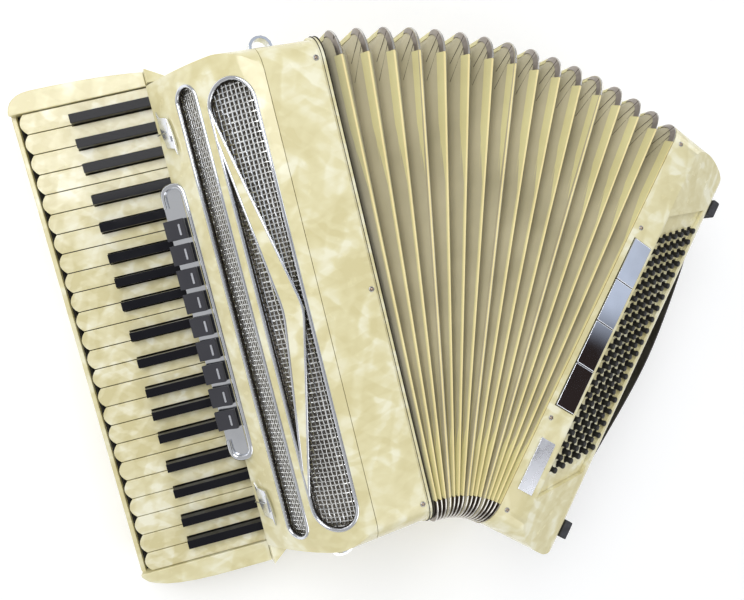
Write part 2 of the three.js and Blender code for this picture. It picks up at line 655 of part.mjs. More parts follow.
function bassFittings() {
  for (let i = 0; i < SLAB_COUNT; i += 1) {
    const high = SLABS_TOP_Y - i * SLAB_PITCH;
    const slab = box(SLAB_X0, SLAB_X1, high - SLAB_PITCH + 1, high, 197.5, 201.5);
    piece(bass, `bass_register_${i + 1}`, slab, 'chrome');
  }
  const plate = box(9.4, 28, 50, 108, BODY_DEPTH + GAP, BODY_DEPTH + 1.3);
  piece(bass, 'maker_plate', plate, 'steel');
  const reeds = [20, 80].map((z) => box(11, 62, 70, 420, z, z + 40));
  piece(bass, 'bass_reed_block', join([box(7, 12, 30, 460, 14, 150), ...reeds]), 'wood');
  const wheel = rodAlongY(WHEEL.x, WHEEL.z, WHEEL.radius, 448, 455, 20);
  piece(bass, 'strap_wheel', wheel.add(rodAlongY(WHEEL.x, WHEEL.z, 2.6, 437, 449, 10)), 'chrome');
  const button = rodAlongX(AIR.y, AIR.z, AIR.radius, BASS_WIDTH - 11, BASS_WIDTH + 7);
  piece(bass, 'air_button', button, 'chrome');
  for (const [name, y] of [['top', 453], ['bottom', 36]]) {
    const foot = box(BASS_WIDTH + GAP, BASS_WIDTH + 10, y - 10, y + 10, 140, 160);
    piece(bass, `bass_foot_${name}`, foot, 'rubber');
  }
}

// The strap leaves the outer wall at both ends and stands off it for the hand.
function bassStrap() {
  const wall = BASS_WIDTH + GAP;
  const route = new THREE.CatmullRomCurve3([
    [wall + 2, 432], [wall + 9, 412], [131.5, 384], [142, 262], [132, 140], [wall + 9, 74], [wall + 2, 52],
  ].map(([x, y]) => new THREE.Vector3(x, y, 0)));
  const steps = 24;
  const side = (offset) => Array.from({ length: steps + 1 }, (_, i) => {
    const point = route.getPoint(i / steps);
    const tangent = route.getTangent(i / steps);
    return [point.x - tangent.y * offset, point.y + tangent.x * offset];
  });
  const band = alongZ(outline([...side(1.7), ...side(-1.7).reverse()]), 62, 134);
  const ends = [[432, 436], [46, 52]].map(([y0, y1]) => box(wall, wall + 4, y0 - 8, y1 + 4, 66, 130));
  piece(bass, 'bass_strap', join([band, ...ends]), 'leather');
}

trebleCasing();
grille();
grilleBolt();
registerBezel();
keys();
keyboardBed();
trebleReeds();
trebleFittings();
bellows();
bassCasing();
bassButtons();
bassFittings();
bassStrap();

// The origin is the middle of the footprint, on the surface that the back lies on.
accordion.updateMatrixWorld(true);
const bounds = new THREE.Box3().setFromObject(accordion, true);
const centre = bounds.getCenter(new THREE.Vector3());
accordion.position.set(-centre.x, -centre.y, -bounds.min.z);
accordion.updateMatrixWorld(true);

export default accordion;
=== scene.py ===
"""Looks of the piano accordion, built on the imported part.

Lengths are in millimetres in the accordion's own frame until a space matrix takes them to the row frame.
X = 0 is the bellows end of the treble side, Y = 0 the bellows' low edge and Z = 0 the back that it lies on.
"""

import json
import math

import bmesh
import bpy
from mathutils import Matrix, Vector

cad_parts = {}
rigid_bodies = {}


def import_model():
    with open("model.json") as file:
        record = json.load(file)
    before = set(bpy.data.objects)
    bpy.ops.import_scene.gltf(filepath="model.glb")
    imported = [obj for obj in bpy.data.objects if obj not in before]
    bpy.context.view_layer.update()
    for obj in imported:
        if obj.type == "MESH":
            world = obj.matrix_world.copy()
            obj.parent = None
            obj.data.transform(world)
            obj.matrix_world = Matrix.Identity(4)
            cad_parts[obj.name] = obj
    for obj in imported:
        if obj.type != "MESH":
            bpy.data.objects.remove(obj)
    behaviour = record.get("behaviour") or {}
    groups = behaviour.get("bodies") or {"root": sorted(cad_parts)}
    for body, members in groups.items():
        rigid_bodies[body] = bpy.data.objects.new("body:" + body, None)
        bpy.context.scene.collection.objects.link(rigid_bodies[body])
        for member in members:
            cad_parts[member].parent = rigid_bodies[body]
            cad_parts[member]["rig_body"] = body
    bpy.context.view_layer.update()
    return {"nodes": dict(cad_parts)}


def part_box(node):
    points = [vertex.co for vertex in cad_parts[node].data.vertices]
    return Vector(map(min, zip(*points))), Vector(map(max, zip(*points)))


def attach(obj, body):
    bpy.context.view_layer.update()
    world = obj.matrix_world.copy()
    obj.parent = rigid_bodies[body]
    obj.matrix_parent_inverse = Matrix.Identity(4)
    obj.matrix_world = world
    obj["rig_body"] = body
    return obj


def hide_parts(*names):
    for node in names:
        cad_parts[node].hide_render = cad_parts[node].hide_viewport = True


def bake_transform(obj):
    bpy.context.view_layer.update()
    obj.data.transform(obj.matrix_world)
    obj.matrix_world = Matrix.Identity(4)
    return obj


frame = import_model()

# ---- dimensions, in millimetres and degrees ----
MM = 0.001
CASING_MAX_X = -8.5               # the treble casing's bellows end
CASING_MIN_Y = -16                # its end away from the chin
BODY_DEPTH = 200
BELLOWS_HEIGHT = 490
BELLOWS_CORNER = 28
FAN_RADIUS = 71                   # fan centre to the bellows' low edge
FOLD_ANGLE = 2.832
RING_FOLDS = (3.5, 7.5, 11.5)
BASS_FOLD = 15.5
PLEAT_DEPTH = 21

KEY_TILT = 14.8
KEY_ORIGIN = (-150.6, 80.6)
BEZEL_TOP = (-143.5, 110.5)
BEZEL_SLOPE = 33.4
BOARD_START = 34
BOARD_SLOPE = 26.6
BUTTON_ROWS = 20
BUTTONS_PER_ROW = 6
BUTTON_PITCH = 14.6
BUTTON_ACROSS = 11.6
BUTTON_SHIFT = 9
BUTTON_HOLE = 3.9
BASS_WIDTH = 113
REGISTER_COUNT = 9
REGISTER_PITCH = 24.4
MID_Y = BELLOWS_HEIGHT / 2

# ---- spaces: each takes millimetres to the row frame ----
casing_low, casing_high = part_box("treble_casing")
ROW = Matrix.Translation((casing_high.x - CASING_MAX_X * MM, casing_low.y - CASING_MIN_Y * MM, 0))
ROW = ROW @ Matrix.Scale(MM, 4)


def fan_space(folds):
    """Local X leaves the plane of the fan at that many folds from the treble side."""
    turn = Matrix.Rotation(math.radians(-folds * FOLD_ANGLE), 4, "Z")
    centre = Matrix.Translation((0, -FAN_RADIUS, 0))
    return ROW @ centre @ turn @ centre.inverted()


def tilted(space, origin, degrees):
    """A space turned about its Y axis at (x, z)."""
    place = Matrix.Translation((origin[0], 0, origin[1]))
    return space @ place @ Matrix.Rotation(math.radians(degrees), 4, "Y")


BASS = fan_space(BASS_FOLD)
KEYBOARD = tilted(ROW, KEY_ORIGIN, -KEY_TILT)
REGISTERS = tilted(ROW, BEZEL_TOP, -BEZEL_SLOPE)
BOARD = tilted(BASS, (BOARD_START, BODY_DEPTH), BOARD_SLOPE)


# ---- material nodes ----
class Shader:
    """A material's node tree with short calls for the nodes used here."""

    def __init__(self, name, color=(0.8, 0.8, 0.8), roughness=0.5, metallic=0.0, **sockets):
        self.material = bpy.data.materials.new(name)
        self.material.use_nodes = True
        self.tree = self.material.node_tree
        self.bsdf = self.tree.nodes["Principled BSDF"]
        self.put("Base Color", (*color, 1))
        self.put("Roughness", roughness)
        self.put("Metallic", metallic)
        for socket, value in sockets.items():
            self.put(socket.replace("_", " "), value)
        self.place = self.node("ShaderNodeTexCoord").outputs["Object"]

    def node(self, kind, **settings):
        node = self.tree.nodes.new(kind)
        for name, value in settings.items():
            setattr(node, name, value)
        return node

    def link(self, source, target):
        self.tree.links.new(source, target)

    def put(self, socket, value):
        if hasattr(value, "is_output"):
            self.link(value, self.bsdf.inputs[socket])
        else:
            self.bsdf.inputs[socket].default_value = value

    def noise(self, scale, detail=3.0, vector=None, distortion=0.0, output="Fac"):
        node = self.node("ShaderNodeTexNoise")
        node.inputs["Scale"].default_value = scale
        node.inputs["Detail"].default_value = detail
        node.inputs["Distortion"].default_value = distortion
        self.link(vector or self.place, node.inputs["Vector"])
        return node.outputs[output]

    def voronoi(self, scale, vector=None, output="Distance", feature="F1"):
        node = self.node("ShaderNodeTexVoronoi", feature=feature)
        node.inputs["Scale"].default_value = scale
        self.link(vector or self.place, node.inputs["Vector"])
        return node.outputs[output]

    def cells(self, scale, vector, softness):
        """A grey level for each cell, with soft borders between the cells."""
        node = self.node("ShaderNodeTexVoronoi", feature="SMOOTH_F1")
        node.inputs["Scale"].default_value = scale
        node.inputs["Smoothness"].default_value = softness
        self.link(vector, node.inputs["Vector"])
        return node.outputs["Color"]

    def wave(self, scale, direction="X", vector=None, distortion=0.0):
        node = self.node("ShaderNodeTexWave", bands_direction=direction)
        node.inputs["Scale"].default_value = scale
        node.inputs["Distortion"].default_value = distortion
        self.link(vector or self.place, node.inputs["Vector"])
        return node.outputs["Fac"]

    def ramp(self, value, *stops):
        node = self.node("ShaderNodeValToRGB")
        elements = node.color_ramp.elements
        while len(elements) < len(stops):
            elements.new(0.5)
        for element, (position, color) in zip(elements, stops):
            element.position = position
            element.color = (*color, 1) if hasattr(color, "__len__") else (color, color, color, 1)
        self.link(value, node.inputs["Fac"])
        return node.outputs["Color"]

    def mix(self, factor, a, b, blend_type="MIX"):
        node = self.node("ShaderNodeMix", data_type="RGBA", blend_type=blend_type)
        for socket, value in (("Factor", factor), ("A", a), ("B", b)):
            target = [s for s in node.inputs if s.name == socket and s.enabled][0]
            if hasattr(value, "is_output"):
                self.link(value, target)
            else:
                target.default_value = (*value, 1) if hasattr(value, "__len__") else value
        return [s for s in node.outputs if s.enabled][0]

    def math(self, operation, a, b=0.0):
        node = self.node("ShaderNodeMath", operation=operation)
        for socket, value in zip(node.inputs, (a, b)):
            if hasattr(value, "is_output"):
                self.link(value, socket)
            else:
                socket.default_value = value
        return node.outputs[0]

    def shift(self, vector, offset, scale):
        """The vector moved by the offset times the scale."""
        node = self.node("ShaderNodeVectorMath", operation="MULTIPLY_ADD")
        self.link(offset, node.inputs[0])
        node.inputs[1].default_value = (scale, scale, scale)
        self.link(vector, node.inputs[2])
        return node.outputs[0]

    def stretch(self, vector, factors):
        node = self.node("ShaderNodeVectorMath", operation="MULTIPLY")
        self.link(vector, node.inputs[0])
        node.inputs[1].default_value = factors
        return node.outputs[0]

    def lean(self, vector, degrees):
        node = self.node("ShaderNodeVectorRotate", rotation_type="Z_AXIS")
        self.link(vector, node.inputs["Vector"])
        node.inputs["Angle"].default_value = math.radians(degrees)
        return node.outputs[0]

    def bump(self, height, strength, distance=0.001):
        node = self.node("ShaderNodeBump")
        node.inputs["Strength"].default_value = strength
        node.inputs["Distance"].default_value = distance
        self.link(height, node.inputs["Height"])
        self.put("Normal", node.outputs["Normal"])


def pearl(name, deep, middle, light, patch, streak):
    """Mother-of-pearl celluloid: soft patches crossed by silky lens-shaped strokes."""
    shader = Shader(name, roughness=0.2, Coat_Weight=0.4, Coat_Roughness=0.08, Specular_IOR_Level=0.4)
    wander = shader.noise(patch, 2, output="Color")
    place = shader.shift(shader.place, wander, 0.35 / patch)
    level = shader.math("MULTIPLY", shader.cells(patch, place, 0.8), 0.34)
    for share, degrees, scale in ((0.26, 25, 1.0), (0.22, -50, 1.35), (0.18, 80, 1.8)):
        strokes = shader.stretch(shader.lean(place, degrees), (1, 0.3, 0.6))
        stroke = shader.cells(streak * scale, strokes, 0.55)
        level = shader.math("ADD", level, shader.math("MULTIPLY", stroke, share))
    shader.put("Base Color", shader.ramp(level, (0.34, deep), (0.49, middle), (0.66, light)))
    shader.put("Roughness", shader.ramp(shader.noise(70, 3), (0.35, 0.16), (0.75, 0.3)))
    shader.bump(level, 0.04, 0.0004)
    return shader.material


def polished_metal(name, color, low, high, scuff=60):
    """Plated metal with faint hand marks and fine scuffs."""
    shader = Shader(name, color, metallic=1.0)
    marks = shader.noise(scuff, 5, distortion=0.4)
    shader.put("Roughness", shader.ramp(marks, (0.3, low), (0.75, high)))
    dull = tuple(0.82 * c for c in color)
    worn = shader.ramp(shader.noise(25, 2), (0.45, 0.0), (0.7, 0.6))
    shader.put("Base Color", shader.mix(worn, color, dull))
    shader.bump(shader.noise(9, 2), 0.03, 0.002)
    return shader.material


def gloss_black(name, color, low, high):
    """Polished black plastic with finger haze."""
    shader = Shader(name, color, Specular_IOR_Level=0.14)
    haze = shader.noise(45, 4)
    shader.put("Roughness", shader.ramp(haze, (0.35, low), (0.7, high)))
    lifted = tuple(c + 0.006 for c in color)
    shader.put("Base Color", shader.mix(haze, color, lifted))
    shader.bump(shader.noise(600, 2), 0.03, 0.0003)
    return shader.material


def card_cloth(name, color, shade, weave=900):
    """Cloth glued on card: a fine weave over slow stains."""
    shader = Shader(name, roughness=0.85)
    shader.put("Sheen Weight", 0.15)
    stains = shader.noise(16, 4)
    cross = shader.math("ADD", shader.wave(weave, "Y"), shader.wave(weave, "Z"))
    tone = shader.math("ADD", shader.math("MULTIPLY", stains, 0.8), shader.math("MULTIPLY", cross, 0.12))
    shader.put("Base Color", shader.ramp(tone, (0.3, shade), (0.65, color)))
    shader.bump(cross, 0.15, 0.0002)
    return shader.material


def leather(name, color, lifted):
    """Black strap leather with a pebble grain."""
    shader = Shader(name, roughness=0.5)
    grain = shader.voronoi(700)
    worn = shader.noise(30, 4)
    shader.put("Base Color", shader.ramp(worn, (0.4, color), (0.8, lifted)))
    shader.put("Roughness", shader.ramp(worn, (0.3, 0.38), (0.8, 0.62)))
    shader.bump(grain, 0.35, 0.0004)
    return shader.material


def plain_wood(name, dark, light):
    shader = Shader(name, roughness=0.6)
    rings = shader.wave(55, "X", shader.stretch(shader.place, (1, 0.08, 1)), 3.5)
    shader.put("Base Color", shader.ramp(rings, (0.2, dark), (0.8, light)))
    shader.bump(rings, 0.1, 0.0004)
    return shader.material


def matte_rubber(name, color):
    shader = Shader(name, color, 0.75)
    dust = shader.noise(220, 4)
    shader.put("Base Color", shader.ramp(dust, (0.35, color), (0.8, tuple(c * 1.9 for c in color))))
    shader.bump(dust, 0.2, 0.0005)
    return shader.material


LOOK = {
    "pearl": pearl("pearloid", (0.72, 0.65, 0.36), (0.79, 0.73, 0.44), (0.91, 0.88, 0.66), 34, 95),
    "key": pearl("pearl_key", (0.69, 0.62, 0.34), (0.79, 0.73, 0.46), (0.92, 0.89, 0.69), 50, 120),
    "black": gloss_black("black_key", (0.006, 0.006, 0.009), 0.08, 0.18),
    "tab": gloss_black("register_tab", (0.05, 0.05, 0.058), 0.28, 0.42),
    "button": gloss_black("bass_button", (0.02, 0.02, 0.02), 0.2, 0.4),
    "chrome": polished_metal("chrome", (0.80, 0.82, 0.86), 0.05, 0.14),
    "slab": polished_metal("chrome_slab", (0.78, 0.80, 0.86), 0.03, 0.10, 20),
    "wire": polished_metal("grille_wire", (0.86, 0.86, 0.84), 0.12, 0.25, 150),
    "corner": polished_metal("bellows_corner", (0.34, 0.30, 0.26), 0.28, 0.48, 130),
    # The second corner metal is lighter, for the corners' ridge: a painted highlight.
    "corner_crest_highlight": polished_metal("corner_crest_highlight", (0.66, 0.64, 0.60), 0.18, 0.32, 130),
    "steel": polished_metal("steel", (0.56, 0.55, 0.53), 0.25, 0.42, 120),
    "brass": polished_metal("pin_centre", (0.46, 0.36, 0.28), 0.25, 0.4, 200),
    "plate": polished_metal("maker_plate", (0.80, 0.82, 0.88), 0.22, 0.36, 90),
    "wall": card_cloth("bellows_wall", (0.58, 0.53, 0.37), (0.44, 0.40, 0.26)),
    "tape": card_cloth("bellows_tape", (0.76, 0.71, 0.38), (0.66, 0.60, 0.30), 1400),
    # edge is the tape's crest in a brighter cream: a painted highlight along each fold's ridge.
    "edge": card_cloth("bellows_tape_crest_highlight", (0.96, 0.84, 0.44), (0.86, 0.72, 0.34), 1400),
    "felt": card_cloth("key_felt", (0.020, 0.018, 0.016), (0.008, 0.007, 0.006), 2000),
    "gauze": card_cloth("grille_cloth", (0.16, 0.14, 0.11), (0.05, 0.045, 0.04), 500),
    # The dark line material also serves as painted shade: in the bellows creases, inside the grille rims, in
    # the clip recesses and round the bass buttons.
    "line": gloss_black("dark_line_and_painted_shade", (0.02, 0.016, 0.012), 0.4, 0.6),
    "leather": leather("strap_leather", (0.018, 0.017, 0.018), (0.05, 0.048, 0.05)),
    "thread": card_cloth("strap_thread", (0.30, 0.29, 0.28), (0.18, 0.17, 0.17), 3000),
    "wood": plain_wood("reed_block_wood", (0.40, 0.27, 0.13), (0.66, 0.50, 0.28)),
    "rubber": matte_rubber("foot_rubber", (0.030, 0.031, 0.036)),
}


# ---- meshes ----
def new_mesh(bm, space):
    bm.transform(space)
    bmesh.ops.recalc_face_normals(bm, faces=bm.faces)
    mesh = bpy.data.meshes.new("mesh")
    bm.to_mesh(mesh)
    bm.free()
    return mesh


def smooth(mesh, degrees):
    mesh.polygons.foreach_set("use_smooth", [True] * len(mesh.polygons))
    mesh.set_sharp_from_angle(angle=math.radians(degrees))


def piece(name, bm, space, looks, body, degrees=40, replaces=()):
    """Makes an object of the mesh. body is a CAD body, or None for a piece left on no body here."""
    mesh = new_mesh(bm, space)
    smooth(mesh, degrees)
    obj = bpy.data.objects.new(name, mesh)
    bpy.context.scene.collection.objects.link(obj)
    for look in looks if isinstance(looks, (list, tuple)) else [looks]:
        mesh.materials.append(LOOK[look])
    if body:
        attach(obj, body)
    if replaces:
        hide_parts(*replaces)
    return obj


def add_loops(bm, loops, closed=False, caps=True, index=0):
    """Skins a row of loops with the same number of points; closed joins the last loop to the first."""
    rows = [[bm.verts.new(point) for point in loop] for loop in loops]
    count = len(rows[0])
    last = len(rows) if closed else len(rows) - 1
    for i in range(last):
        here, there = rows[i], rows[(i + 1) % len(rows)]
        for k in range(count):
            quad = (here[k], here[(k + 1) % count], there[(k + 1) % count], there[k])
            bm.faces.new(quad).material_index = index
    if caps and not closed:
        bm.faces.new(rows[0]).material_index = index
        bm.faces.new(rows[-1][::-1]).material_index = index
    return rows


def add_tube(bm, points, radius, sides=8, closed=False, index=0, flat=1.0):
    """A round bar through the points."""
    points = [Vector(p) for p in points]
    count = len(points)
    loops = []
    side = None
    for i, point in enumerate(points):
        before = points[i - 1] if closed or i else point
        after = points[(i + 1) % count] if closed or i < count - 1 else point
        along = (after - before).normalized()
        reference = side or along.orthogonal()
        side = (reference - along * reference.dot(along)).normalized()
        other = along.cross(side)
        turn = [2 * math.pi * k / sides for k in range(sides)]
        loops.append([point + (side * math.cos(a) + other * math.sin(a) * flat) * radius for a in turn])
    return add_loops(bm, loops, closed, not closed, index)


def add_lathe(bm, place, profile, sides=20, index=0):
    """Turns (radius, height) pairs about the Z axis of the matrix."""
    turns = [2 * math.pi * k / sides for k in range(sides)]
    loops = []
    for radius, height in profile:
        ring = [(radius * math.cos(t), radius * math.sin(t), height) for t in turns]
        loops.append([place @ Vector(point) for point in ring])
    return add_loops(bm, loops, index=index)


def add_prism(bm, points, low, high, index=0):
    """An outline in X and Y from one height to another."""
    return add_loops(bm, [[(x, y, low) for x, y in points], [(x, y, high) for x, y in points]], index=index)


def soften(bm, width, segments=2, degrees=30, keep=None):
    """Rounds the edges that turn by more than the angle."""
    limit = math.radians(degrees)
    edges = [e for e in bm.edges if len(e.link_faces) == 2 and e.calc_face_angle(0) > limit]
    if keep:
        edges = [e for e in edges if keep(e)]
    bmesh.ops.bevel(bm, geom=edges, offset=width, segments=segments, profile=0.6, affect="EDGES",
                    clamp_overlap=True)


def dress(node, look, width=0.7, segments=2, degrees=30, name=None):
    """The CAD node's own shape with its hard edges rounded and its curved faces smooth."""
    bm = bmesh.new()
    bm.from_mesh(frame["nodes"][node].data)
    bmesh.ops.remove_doubles(bm, verts=bm.verts, dist=1e-6)
    bmesh.ops.dissolve_limit(bm, angle_limit=math.radians(0.5), verts=bm.verts, edges=bm.edges)
    if width:
        soften(bm, width * MM, segments, degrees)
    body = frame["nodes"][node]["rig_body"]
    obj = piece(name or f"{node}_finish", bm, Matrix.Identity(4), look, body, 42, (node,))
    obj.modifiers.new("even_shading", "WEIGHTED_NORMAL").keep_sharp = True
    return obj


def rounded(u0, v0, u1, v1, radius, steps=8):
    """A rectangle's outline with round corners."""
    points = []
    corners = ((u1 - radius, v0 + radius, -90), (u1 - radius, v1 - radius, 0),
               (u0 + radius, v1 - radius, 90), (u0 + radius, v0 + radius, 180))
    for u, v, start in corners:
        for k in range(steps + 1):
            angle = math.radians(start + 90 * k / steps)
            points.append((u + radius * math.cos(angle), v + radius * math.sin(angle)))
    return points


# ---- treble side ----
def treble_casing():
    dress("treble_casing", "pearl", 1.2)
    dress("grille_cover", "pearl", 0.6)
    dress("keyboard_bed", "pearl", 1.4, 3)
    dress("treble_bellows_frame", "pearl", 0.5)
    dress("strap_bracket_top", "chrome", 0.4)
    dress("strap_bracket_bottom", "chrome", 0.4)
    dress("cover_clip_top", "chrome", 0.5)
    dress("cover_clip_bottom", "chrome", 0.5)


def keys():
    for block in ("low", "high"):
        dress(f"white_keys_{block}", "key", 1.0, 3)
        dress(f"black_keys_{block}", "black", 1.0, 3)
    for note in "cdefgab":
        dress(f"white_key_{note}4", "key", 1.0, 3)
    for note in "cdfga":
        dress(f"black_key_{note}s4", "black", 1.0, 3)


BED_FLOOR = -22
BED_LIP, BED_REAR = -129, -12      # the felt's edge at the keys' fronts, and its end near the cover
KEYS_Y = (6, 486)


def key_felt():
    """Dark felt on the bed's floor and lip, under the keys."""
    low, high = KEYS_Y
    bm = bmesh.new()
    sheet = [(BED_LIP, low), (BED_REAR, low), (BED_REAR, high), (BED_LIP, high)]
    add_prism(bm, sheet, BED_FLOOR + 0.2, BED_FLOOR + 1.4)
    add_prism(bm, [(-129.2, low), (-128.2, low), (-128.2, high), (-129.2, high)], BED_FLOOR + 2, -10)
    soften(bm, 0.3, 2)
    piece("key_bed_felt", bm, KEYBOARD, "felt", "treble_side")


# ---- bellows ----
def fan_point(folds, y, z):
    """A point of the fan's plane at that many folds."""
    angle = math.radians(folds * FOLD_ANGLE)
    reach = y + FAN_RADIUS
    return Vector((reach * math.sin(angle), reach * math.cos(angle) - FAN_RADIUS, z))


def half_spread(y):
    """Half of a fold's width at that height, at rest."""
    return (y + FAN_RADIUS) * math.tan(math.radians(FOLD_ANGLE / 2))


def bellows_outline(inset, steps=7):
    high_y, high_z = BELLOWS_HEIGHT - inset, BODY_DEPTH - 1 - inset
    return rounded(inset, 1 + inset, high_y, high_z, BELLOWS_CORNER - inset, steps)


def on_fold(folds, y, z, across):
    """The point moved across the fold's plane by a length."""
    angle = math.radians(folds * FOLD_ANGLE)
    return fan_point(folds, y, z) + Vector((math.cos(angle), -math.sin(angle), 0)) * across


def gap_of(fold):
    """The two bodies and folds on either side of a fold that isn't on a body, or one body where it is."""
    edges = (0, *RING_FOLDS, BASS_FOLD)
    names = ("treble_side", "bellows_ring_1", "bellows_ring_2", "bellows_ring_3", "bass_side")
    for i in range(4):
        if edges[i] < fold < edges[i + 1]:
            return names[i], names[i + 1], edges[i], edges[i + 1]
    return names[edges.index(fold)], None, fold, fold


def hang_between(obj, fold):
    """Attaches the piece to the body at its fold; a piece between two bodies only has its transform baked and
    stays on no body.
    """
    a, b, start, end = gap_of(fold)
    if b is None:
        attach(obj, a)
        return
    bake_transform(obj)


TAPE_DEPTH = 7.5
CORNER_DEPTH = 4.6
EDGE_HALF = 1.0


def tape_section(y, depth, thick, proud, half):
    """The cross-section of a strip folded over a peak: pairs of distance across and depth below the peak."""
    spread = half_spread(y) * depth / PLEAT_DEPTH
    tip = min(EDGE_HALF, 0.32 * half_spread(y)) + 0.1
    lift = min(thick, 0.25 * half_spread(y))
    left = [(-spread - lift, depth), (-tip, 0.6 - proud), (-0.5 * tip, -proud)]
    if half:
        return left + [(-0.1, 0.2), (-0.1, 1.4), (-spread, depth)]
    right = [(-across, down) for across, down in left[::-1]]
    return left + right + [(spread, depth), (0, 0.9), (-spread, depth)]


def add_tape(bm, fold, stations, depth, thick, proud, indexes, half):
    """Folds a strip over the peak along stations of (y, z, inward direction)."""
    loops = []
    for y, z, (inward_y, inward_z) in stations:
        section = tape_section(y, depth, thick, proud, half)
        loops.append([on_fold(fold, y + inward_y * down, z + inward_z * down, across)
                      for across, down in section])
    before = len(bm.faces)
    add_loops(bm, loops)
    bm.faces.ensure_lookup_table()
    count = len(loops[0])
    for i, face in enumerate(bm.faces[before:]):
        part = i % count if i < (len(loops) - 1) * count else 0
        # Faces 1 to 3 of each section run along the crest and take the second material, painted lighter as a
        # highlight on the ridge.
        face.material_index = indexes[1] if part in (1, 2, 3) else indexes[0]


def straight_runs():
    r = BELLOWS_CORNER
    low, high = 1.0, BODY_DEPTH - 1.0
    return [
        [(r, high, (0, -1)), (BELLOWS_HEIGHT - r, high, (0, -1))],
        [(BELLOWS_HEIGHT, high - r, (-1, 0)), (BELLOWS_HEIGHT, low + r, (-1, 0))],
        [(BELLOWS_HEIGHT - r, low, (0, 1)), (r, low, (0, 1))],
        [(0, low + r, (1, 0)), (0, high - r, (1, 0))],
    ]


def corner_arcs(steps=7):
    r = BELLOWS_CORNER
    low, high = 1.0, BODY_DEPTH - 1.0
    arcs = []
    for y, z, start in ((BELLOWS_HEIGHT - r, high - r, 90), (BELLOWS_HEIGHT - r, low + r, 0),
                        (r, low + r, -90), (r, high - r, 180)):
        arc = []
        for k in range(steps + 1):
            angle = math.radians(start - 90 * k / steps)
            out_y, out_z = math.cos(angle), math.sin(angle)
            arc.append((y + r * out_y, z + r * out_z, (-out_y, -out_z)))
        arcs.append(arc)
    return arcs


def peak(fold, half=False):
    """The tape and the metal corners of one peak, or of its treble half where it meets the bass rim."""
    number = int(fold + 0.5)
    bm = bmesh.new()
    for run in straight_runs():
        add_tape(bm, fold, run, TAPE_DEPTH, 0.5, 0.4, (0, 1), half)
    tape = piece(f"bellows_tape_{number}", bm, ROW, ("tape", "edge"), None, 25)
    bm = bmesh.new()
    for arc in corner_arcs():
        add_tape(bm, fold, arc, CORNER_DEPTH, 0.8, 0.8, (0, 1), half)
    # The corners' crest faces take the lighter metal, a painted highlight.
    corners = piece(f"bellows_corners_{number}", bm, ROW, ("corner", "corner_crest_highlight"), None, 35)
    for obj in (tape, corners):
        hang_between(obj, fold)


def add_gusset_crease_shade(bm, valley, peak_fold):
    """Thin dark tubes along the fine creases where the wall folds in at its corners: painted shade in the
    creases.
    """
    high = BODY_DEPTH - 1
    for below_peak, below_valley in ((9, 34), (20, 52)):
        y_peak, y_valley = BELLOWS_HEIGHT - below_peak, BELLOWS_HEIGHT - below_valley
        for z, inward in ((high, -1), (1, 1)):
            start = fan_point(valley + (peak_fold - valley) * 0.75, y_peak, z + inward * (PLEAT_DEPTH * 0.27))
            end = fan_point(valley + (peak_fold - valley) * 0.12, y_valley, z + inward * (PLEAT_DEPTH * 0.87))
            add_tube(bm, [start, (start + end) / 2, end], 0.28, 5, index=1)


def pleat(from_fold, to_fold):
    """The card walls from one peak down to the valley and up to the next peak."""
    middle = (from_fold + to_fold) / 2
    if to_fold - from_fold == 1:
        rows = [(from_fold, 0.5), ((from_fold + middle) / 2, PLEAT_DEPTH / 2), (middle, PLEAT_DEPTH),
                ((middle + to_fold) / 2, PLEAT_DEPTH / 2), (to_fold, 0.5)]
    else:
        rows = [(from_fold + 0.02, PLEAT_DEPTH - 0.5), (middle, PLEAT_DEPTH / 2), (to_fold, 0.5)]
    card = 0.7
    loops = []
    for side in (0, 1):
        for fold, inset in rows if side == 0 else rows[::-1]:
            loops.append([fan_point(fold, y, z) for y, z in bellows_outline(inset + card * side)])
    bm = bmesh.new()
    add_loops(bm, loops, closed=True)
    add_gusset_crease_shade(bm, middle, to_fold)
    name = f"bellows_pleat_{int(to_fold + 0.5)}"
    obj = piece(name, bm, ROW, ("wall", "line"), None, 20)
    hang_between(obj, middle)
    return obj


def bellows():
    pleats = [pleat(0, 0.5)]
    for i in range(15):
        peak(i + 0.5)
        pleats.append(pleat(i + 0.5, i + 1.5))
    peak(BASS_FOLD, True)
    groups = ([0, 1, 2, 3], [4, 5, 6, 7], [8, 9, 10, 11], [12, 13, 14, 15])
    for number, group in enumerate(groups):
        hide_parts(f"bellows_pleats_{number + 1}")
    for number in (1, 2, 3):
        ring = frame["nodes"][f"bellows_ring_{number}"]
        ring.data.materials.clear()
        ring.data.materials.append(LOOK["wall"])


def recolor(look, *nodes):
    """Gives CAD nodes that keep their shape a better material."""
    for node in nodes:
        materials = frame["nodes"][node].data.materials
        materials.clear()
        materials.append(LOOK[look])


# ---- grille ----
COVER_CURVE = ((-62.3, 200), (-112, 186), (-152.4, 97))
COVER_SKIN = 3.5
WIDE = {"t": (0.13, 0.52), "y": (29, 460), "pitch": 4.6}
NARROW = {"t": (0.6, 0.77), "y": (21, 467), "pitch": 2.7}
WIRE_PITCH = 4.6


def cover_point(t, depth=0.0):
    """A point of the cover's section, that far under its surface."""
    a, b, c = (Vector(p) for p in COVER_CURVE)
    point = a * (1 - t) ** 2 + b * 2 * t * (1 - t) + c * t * t
    along = ((b - a) * (1 - t) + (c - b) * t).normalized()
    return Vector((point.x - along.y * depth, point.y + along.x * depth))


def slot_width(slot):
    return (cover_point(slot["t"][0]) - cover_point(slot["t"][1])).length


def slot_point(slot, u, y, depth):
    """u runs across the slot from its middle, towards the bellows."""
    start, end = slot["t"]
    point = cover_point(start + (end - start) * (0.5 - u / slot_width(slot)), depth)
    return Vector((point.x, y, point.y))


def slot_space(slot):
    right, left = (cover_point(t) for t in slot["t"])
    across = Vector((right.x - left.x, 0, right.y - left.y)).normalized()
    up = Vector((0, 1, 0))
    turn = Matrix((across, up, across.cross(up))).transposed().to_4x4()
    return ROW @ Matrix.Translation(((right.x + left.x) / 2, 0, (right.y + left.y) / 2)) @ turn


